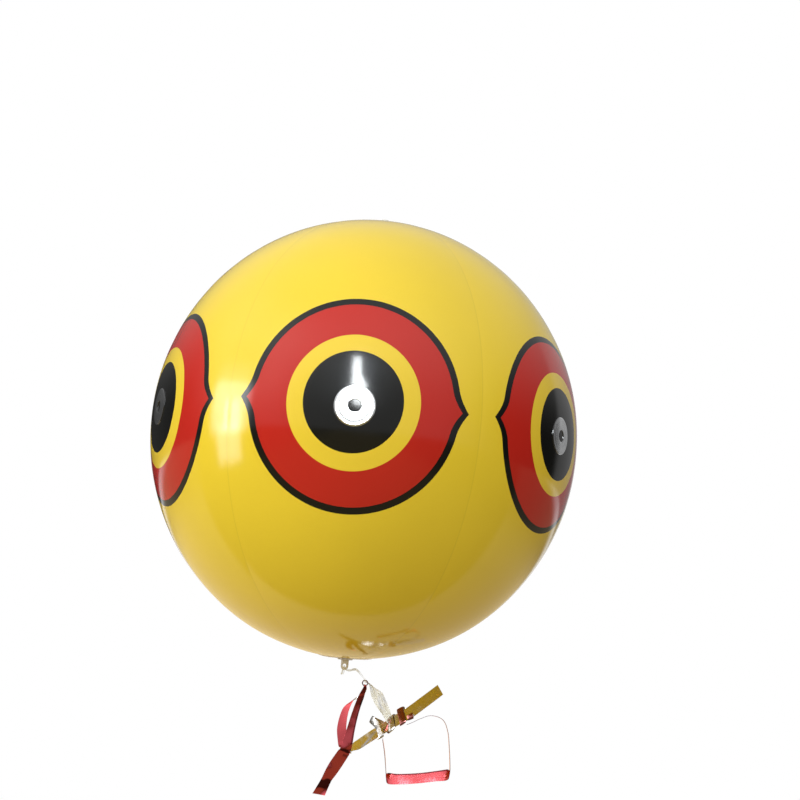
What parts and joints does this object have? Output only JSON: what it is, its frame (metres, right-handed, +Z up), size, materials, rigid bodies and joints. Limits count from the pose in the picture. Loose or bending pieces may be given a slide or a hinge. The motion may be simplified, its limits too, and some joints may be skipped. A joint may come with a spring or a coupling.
{
  "type": "bird scare balloon",
  "caption": "Inflatable ball of welded vinyl gores with printed eyes and foil pupil discs, a push-in valve on top and a tail of metallic tape.",
  "frame": {"origin": "On the ball's axis, in the neck of the valve collar on top, where the hanging string is tied", "axes": "+Z up along the ball's axis through the valve and the tail tab; -Y toward the eye of gore_1, the one that faces the viewer; +X to that viewer's right"},
  "size_m": [0.3976, 0.401, 0.5453],
  "materials": {
    "yellow_vinyl": "glossy printed vinyl film",
    "silver_foil": "mirror foil with fine concentric grooves",
    "clear_patch": "clear vinyl",
    "clear_valve": "clear soft vinyl",
    "plug_strap": "clear soft vinyl",
    "plug": "clear soft vinyl",
    "check_flap": "clear soft vinyl",
    "clear_tab": "clear vinyl",
    "clear_ribbon": "clear crumpled film",
    "silver_tape": "mirror metallised film",
    "red_tape": "mirror metallised film, red lacquered",
    "knot": "twisted film"
  },
  "bodies": {
    "ball": {"gore_1": "yellow_vinyl", "gore_2": "yellow_vinyl", "gore_3": "yellow_vinyl", "gore_4": "yellow_vinyl", "gore_5": "yellow_vinyl", "gore_6": "yellow_vinyl", "pupil_disc_1": "silver_foil", "pupil_disc_2": "silver_foil", "pupil_disc_3": "silver_foil", "pupil_disc_4": "silver_foil", "pupil_disc_5": "silver_foil", "pupil_disc_6": "silver_foil", "top_patch": "clear_patch", "bottom_patch": "clear_patch", "valve_base": "clear_valve", "tail_tab": "clear_tab"},
    "valve": {"valve_stem": "clear_valve", "plug_strap": "plug_strap"},
    "plug": {"valve_plug": "plug"},
    "flap": {"check_flap": "check_flap"},
    "tail": {"tie_ribbon": "clear_ribbon", "bow_streamer": "silver_tape", "knot_ring": "knot", "tape_wrap_1": "silver_tape", "tape_wrap_2": "silver_tape"},
    "red_tape": {"red_streamer": "red_tape"},
    "tape_loop": {"loop_streamer": "red_tape"}
  },
  "joints": [
    {"name": "valve_push_in", "type": "slide", "parent": "ball", "child": "valve", "axis": [0, 0, -1], "range_m": [0, 0.005]},
    {"name": "plug_swing", "type": "hinge", "parent": "valve", "child": "plug", "pos_m": [0.007, 0, 0.00975], "axis": [0, 1, 0], "range_deg": [0, 150]},
    {"name": "flap_open", "type": "hinge", "parent": "valve", "child": "flap", "pos_m": [0.0034, 0, -0.00735], "axis": [0, -1, 0], "range_deg": [0, 70], "stiffness_Nm_per_rad": 0.0001},
    {"name": "tail_swing", "type": "hinge", "parent": "ball", "child": "tail", "pos_m": [0, 0, -0.4208], "axis": [0, 1, 0], "range_deg": [-20, 60]},
    {"name": "red_tape_swing", "type": "hinge", "parent": "tail", "child": "red_tape", "pos_m": [0.0203, -0.0019, -0.4346], "axis": [0, 1, 0], "range_deg": [-12, 30]},
    {"name": "tape_loop_swing", "type": "hinge", "parent": "tail", "child": "tape_loop", "pos_m": [0.0527, 0, -0.4644], "axis": [0.8078, 0, 0.5895], "range_deg": [-35, 35]}
  ]
}
